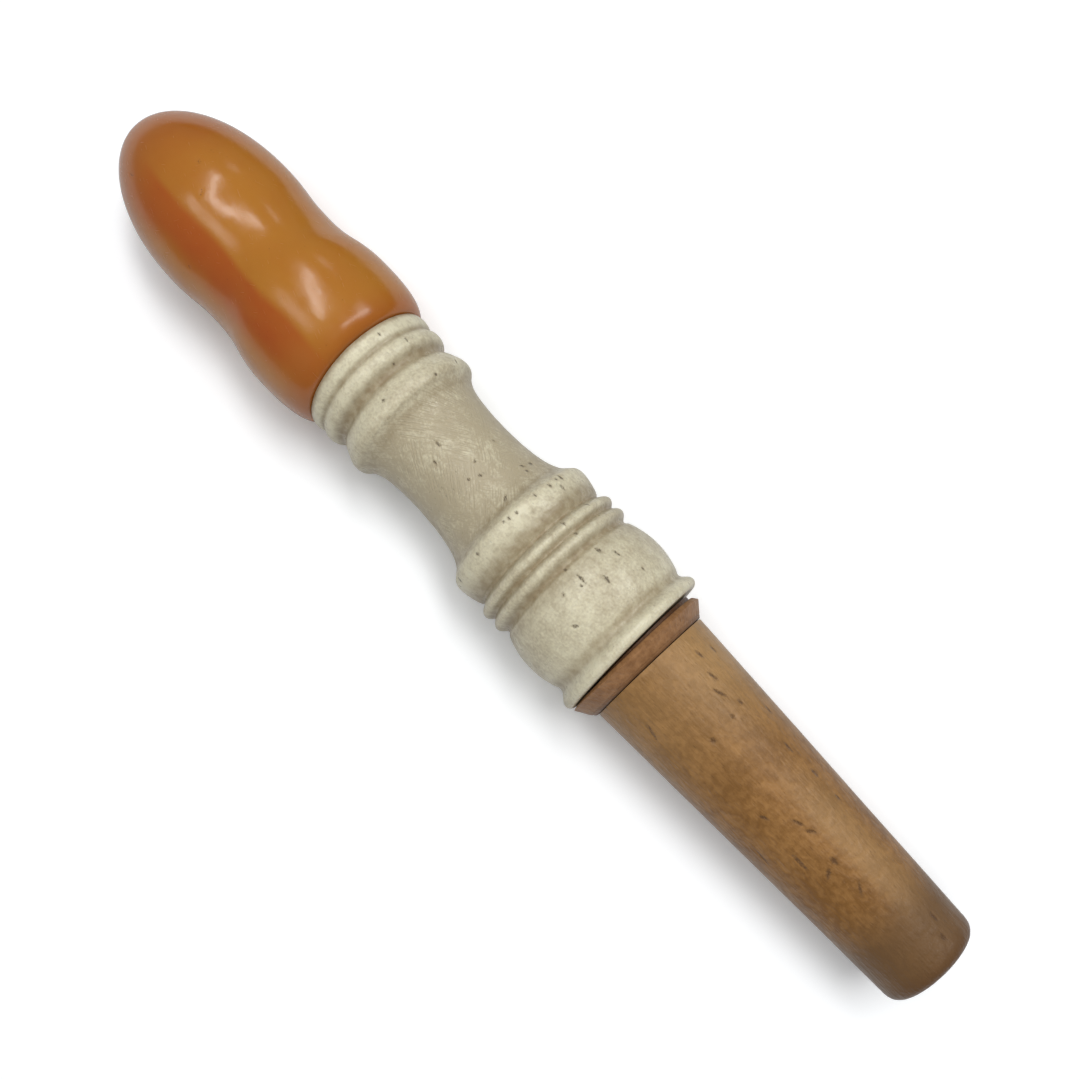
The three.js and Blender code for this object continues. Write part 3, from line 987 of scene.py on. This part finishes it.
def rod_mesh():
    """A screwed rod with chamfered ends."""
    start, end = span("tie_rod")
    length = end - start - 2 * ROD_CHAMFER
    count = round(length / THREAD_PITCH * RINGS_PER_PITCH)
    rings = inner_rings((start, 0), (start, ROD_RADIUS - ROD_CHAMFER))
    for i in range(count + 1):
        rings.append(Ring(start + ROD_CHAMFER + length * i / count, ROD_RADIUS, 0.3, False))
    rings += inner_rings((end, ROD_RADIUS - ROD_CHAMFER), (end, 0))
    return turned_mesh("rod_screwed", rings, ROD_SIDES, thread_section)


def plain_ring_mesh(name, node, radius, chamfer):
    """A turned ring with rounded corners that fills its CAD node's place, round the rod's hole."""
    start, end = span(node)
    outline = Outline(start, ROD_HOLE_RADIUS, step=0.25)
    outline.to((start, radius - chamfer)).to((start + chamfer, radius)).to((end - chamfer, radius))
    outline.to((end, radius - chamfer)).to((end, ROD_HOLE_RADIUS)).softened(0.12)
    return turned_mesh(name, outline.rings(), SMALL_SIDES, closed=True)


def nut_section(start, end):
    """The section of a hexagon nut whose corners are turned off at 30 degrees on both faces."""

    def section(at, radius, angle):
        if radius > ROD_HOLE_RADIUS:
            side = (angle + math.pi / 6) % (math.pi / 3) - math.pi / 6
            flat = NUT_ACROSS_FLATS / 2 / math.cos(side)
            cone = NUT_ACROSS_FLATS / 2 * NUT_FACE_SHARE + min(at - start, end - at) * math.sqrt(3)
            radius = min(flat, cone) * radius / (NUT_ACROSS_FLATS / 2)
        return round_section(at, radius, angle)

    return section


def nut_mesh():
    """A hexagon nut."""
    start, end = span("rod_nut")
    outline = Outline(start, ROD_HOLE_RADIUS, step=0.25)
    outline.to((start, NUT_ACROSS_FLATS / 2)).to((end, NUT_ACROSS_FLATS / 2)).to((end, ROD_HOLE_RADIUS))
    return turned_mesh("nut_hexagon", outline.rings(), SMALL_SIDES, nut_section(start, end), closed=True)


class MUDDLER_OT_stage(bpy.types.Operator):
    """Lay the floor, hang the lights and set up the camera"""

    bl_idname = "muddler.stage"
    bl_label = "Stage"

    def execute(self, context):
        settings = context.scene.muddler_stage
        add_camera(settings)
        add_floor(settings)
        add_lights(settings)
        context.scene.view_settings.view_transform = "Standard"
        return {"FINISHED"}


class MUDDLER_OT_knob(bpy.types.Operator):
    """Cast and polish the resin knob"""

    bl_idname = "muddler.knob"
    bl_label = "Knob"

    def execute(self, context):
        settings = context.scene.muddler_knob
        add_piece("amber_knob", knob_mesh(settings), resin_finish(settings), "knob")
        return {"FINISHED"}


class MUDDLER_OT_bone_grip(bpy.types.Operator):
    """Turn the bone grip"""

    bl_idname = "muddler.bone_grip"
    bl_label = "Bone grip"

    def execute(self, context):
        settings = context.scene.muddler_bone
        add_piece("bone_grip", bone_mesh(settings), bone_finish(settings), "bone_handle")
        return {"FINISHED"}


class MUDDLER_OT_collar(bpy.types.Operator):
    """Turn the wooden collar"""

    bl_idname = "muddler.collar"
    bl_label = "Collar"

    def execute(self, context):
        wood = context.scene.muddler_wood
        finish = wood_finish("red wood", wood.red, wood.dark_red, wood.dark_red, LENGTH, 0.0, wood)
        add_piece("wooden_collar", collar_mesh(), finish, "collar")
        return {"FINISHED"}


class MUDDLER_OT_pestle(bpy.types.Operator):
    """Turn the wooden pestle"""

    bl_idname = "muddler.pestle"
    bl_label = "Pestle"

    def execute(self, context):
        wood = context.scene.muddler_wood
        finish = wood_finish(
            "pestle wood", wood.golden, wood.brown, wood.stained, STAIN_AT, wood.dust_and_painted_sheen, wood)
        add_piece("wooden_pestle", pestle_mesh(), finish, "pestle")
        return {"FINISHED"}


class MUDDLER_OT_bushes(bpy.types.Operator):
    """Turn the two bushes that centre the rod"""

    bl_idname = "muddler.bushes"
    bl_label = "Bushes"

    def execute(self, context):
        wood = context.scene.muddler_wood
        finish = wood_finish("bush wood", wood.golden, wood.brown, wood.brown, LENGTH, 0.0, wood)
        for name, node, radius in zip(
            ("top_bush", "bottom_bush"), ("upper_bush", "lower_bush"), BUSH_RADII
        ):
            mesh = plain_ring_mesh(name + "_turned", node, radius, BUSH_CHAMFER)
            add_piece(name, mesh, finish, node)
        return {"FINISHED"}


class MUDDLER_OT_rod(bpy.types.Operator):
    """Cut the screwed rod, and make its washer and nut"""

    bl_idname = "muddler.rod"
    bl_label = "Rod, washer and nut"

    def execute(self, context):
        finish = steel_finish(context.scene.muddler_steel)
        washer = plain_ring_mesh("washer_flat", "rod_washer", WASHER_RADIUS, WASHER_CHAMFER)
        add_piece("screwed_rod", rod_mesh(), finish, "tie_rod")
        add_piece("flat_washer", washer, finish, "rod_washer")
        add_piece("hexagon_nut", nut_mesh(), finish, "rod_nut")
        return {"FINISHED"}


# ---- Stage ----

# Each light: its name, where it starts and ends, its width, its brightness, and whether it lights the
# shade, shows in the polish, or both. A direction is how far it leans from straight up, towards the
# knob and towards +Y, in degrees; so is the width.
LIGHTS = (
    ("ceiling", (-27, 9), (27, 9), 46, 0.315, "shade"),
    ("key", (-19, 12), (9, 26), 10, 1.25, "shade"),
    ("fill", (-10, -50), (20, -50), 24, 0.14, "shade"),
    ("long strip", (14, 1), (38, 37), 6.5, 0.92, "polish"),
    ("far strip", (48, 57), (52, 62), 7, 0.35, "polish"),
    ("short strip", (-11, 16), (-16, 60), 5, 0.8, "polish"),
    ("side window", (-12, 44), (-12, 60), 26, 0.22, "both"),
    ("dim pane", (14, -16), (34, -16), 12, 0.3, "polish"),
)
LIGHT_DISTANCE = 1.2
FLOOR_SIZE = 4.0
FLOOR_TINT = (0.985, 1.0, 1.015)
FLOOR_FADE = (0.075, 0.095)
FAR_FLOOR = (0.03, 0.03, 0.03)
SENSOR_WIDTH = 36
NEAR_CLIP = 0.01


def add_camera(settings):
    """A camera above the muddler, leaning a little towards the knob."""
    data = bpy.data.cameras.new("camera")
    data.sensor_width = SENSOR_WIDTH
    data.lens = settings.lens
    data.clip_start = NEAR_CLIP
    camera = bpy.data.objects.new("camera", data)
    bpy.context.scene.collection.objects.link(camera)
    turn = Matrix.Rotation(settings.tilt, 4, "Y") @ Matrix.Rotation(settings.roll, 4, "Z")
    place = (TIP_X + settings.camera_at, settings.camera_aside, AXIS_HEIGHT + settings.camera_height)
    camera.matrix_world = Matrix.Translation(place) @ turn
    bpy.context.scene.camera = camera


def add_floor(settings):
    """A plain pale floor."""
    half = FLOOR_SIZE / 2
    mesh = bpy.data.meshes.new("floor")
    mesh.from_pydata([(-half, -half, 0), (half, -half, 0), (half, half, 0), (-half, half, 0)], [],
                     [(0, 1, 2, 3)])
    floor = bpy.data.objects.new("floor", mesh)
    bpy.context.scene.collection.objects.link(floor)
    mesh.materials.append(floor_finish(settings))


def floor_finish(settings):
    """A matt floor that shows lighter than it lights the muddler, and is dark far off on the +Y side."""
    material = bpy.data.materials.new("floor")
    material.use_nodes = True
    sheet = NodeSheet(material.node_tree)
    sheet.tree.nodes.clear()
    place = sheet.node("ShaderNodeTexCoord").outputs["Object"]
    across = sheet.node("ShaderNodeSeparateXYZ", {0: place}).outputs[1]
    far = sheet.ease(across, *FLOOR_FADE)
    nearby = sheet.mix(far, tuple(settings.floor), FAR_FLOOR)
    shown = [channel * settings.floor_lift * tint for channel, tint in zip(settings.floor, FLOOR_TINT)]
    seen = sheet.node("ShaderNodeLightPath").outputs["Is Camera Ray"]
    plain = sheet.node("ShaderNodeBsdfDiffuse", {"Color": nearby})
    lifted = sheet.node("ShaderNodeBsdfDiffuse", {"Color": shown})
    both = sheet.node("ShaderNodeMixShader", {0: seen, 1: plain.outputs[0], 2: lifted.outputs[0]})
    sheet.node("ShaderNodeOutputMaterial", {"Surface": both.outputs[0]})
    return material


def light_direction(leans):
    """The direction that leans that far from straight up, towards the knob and towards +Y, in degrees."""
    towards_knob, towards_y = (math.tan(math.radians(lean)) for lean in leans)
    return Vector((-towards_knob, towards_y, 1)).normalized()


def add_light(light, brightness):
    """A soft light that faces the middle of the muddler."""
    name, start, end, width, share, shows = light
    first, last = light_direction(start), light_direction(end)
    back = (first + last).normalized()
    along = (last - first).normalized()
    across = back.cross(along)
    data = bpy.data.lights.new(name, "AREA")
    data.shape = "RECTANGLE"
    data.size = (last - first).length * LIGHT_DISTANCE
    data.size_y = math.radians(width) * LIGHT_DISTANCE
    data.energy = brightness * share * math.pi * data.size * data.size_y
    lamp = bpy.data.objects.new(name, data)
    lamp.visible_glossy = shows != "shade"
    lamp.visible_diffuse = shows != "polish"
    bpy.context.scene.collection.objects.link(lamp)
    turn = Matrix((along, across, back)).transposed().to_4x4()
    lamp.matrix_world = Matrix.Translation(back * LIGHT_DISTANCE) @ turn


def add_lights(settings):
    """The lights overhead, and an even dim sky."""
    for light in LIGHTS:
        add_light(light, settings.lights)
    world = bpy.data.worlds.new("pale sky")
    world.use_nodes = True
    background = world.node_tree.nodes["Background"]
    background.inputs["Color"].default_value = (1, 1, 1, 1)
    background.inputs["Strength"].default_value = settings.sky
    bpy.context.scene.world = world


# ---- Add-on ----

OPERATORS = (
    MUDDLER_OT_stage,
    MUDDLER_OT_knob,
    MUDDLER_OT_bone_grip,
    MUDDLER_OT_collar,
    MUDDLER_OT_pestle,
    MUDDLER_OT_bushes,
    MUDDLER_OT_rod,
)


class MUDDLER_PT_panel(bpy.types.Panel):
    """Lists the pieces of the muddler, and its stage"""

    bl_label = "Muddler"
    bl_idname = "MUDDLER_PT_panel"
    bl_space_type = "VIEW_3D"
    bl_region_type = "UI"
    bl_category = "Muddler"

    def draw(self, context):
        for operator in OPERATORS:
            self.layout.operator(operator.bl_idname)


SETTINGS = {
    "muddler_knob": KnobSettings,
    "muddler_bone": BoneSettings,
    "muddler_wood": WoodSettings,
    "muddler_steel": SteelSettings,
    "muddler_stage": StageSettings,
}


def register():
    for group in SETTINGS.values():
        bpy.utils.register_class(group)
    for name, group in SETTINGS.items():
        setattr(bpy.types.Scene, name, PointerProperty(type=group))
    for operator in OPERATORS:
        bpy.utils.register_class(operator)
    bpy.utils.register_class(MUDDLER_PT_panel)


def unregister():
    bpy.utils.unregister_class(MUDDLER_PT_panel)
    for operator in reversed(OPERATORS):
        bpy.utils.unregister_class(operator)
    for name in SETTINGS:
        delattr(bpy.types.Scene, name)
    for group in reversed(SETTINGS.values()):
        bpy.utils.unregister_class(group)


def main():
    """Builds the stage and every piece."""
    register()
    bpy.ops.muddler.stage()
    bpy.ops.muddler.knob()
    bpy.ops.muddler.bone_grip()
    bpy.ops.muddler.collar()
    bpy.ops.muddler.pestle()
    bpy.ops.muddler.bushes()
    bpy.ops.muddler.rod()


if __name__ == "__main__":
    main()
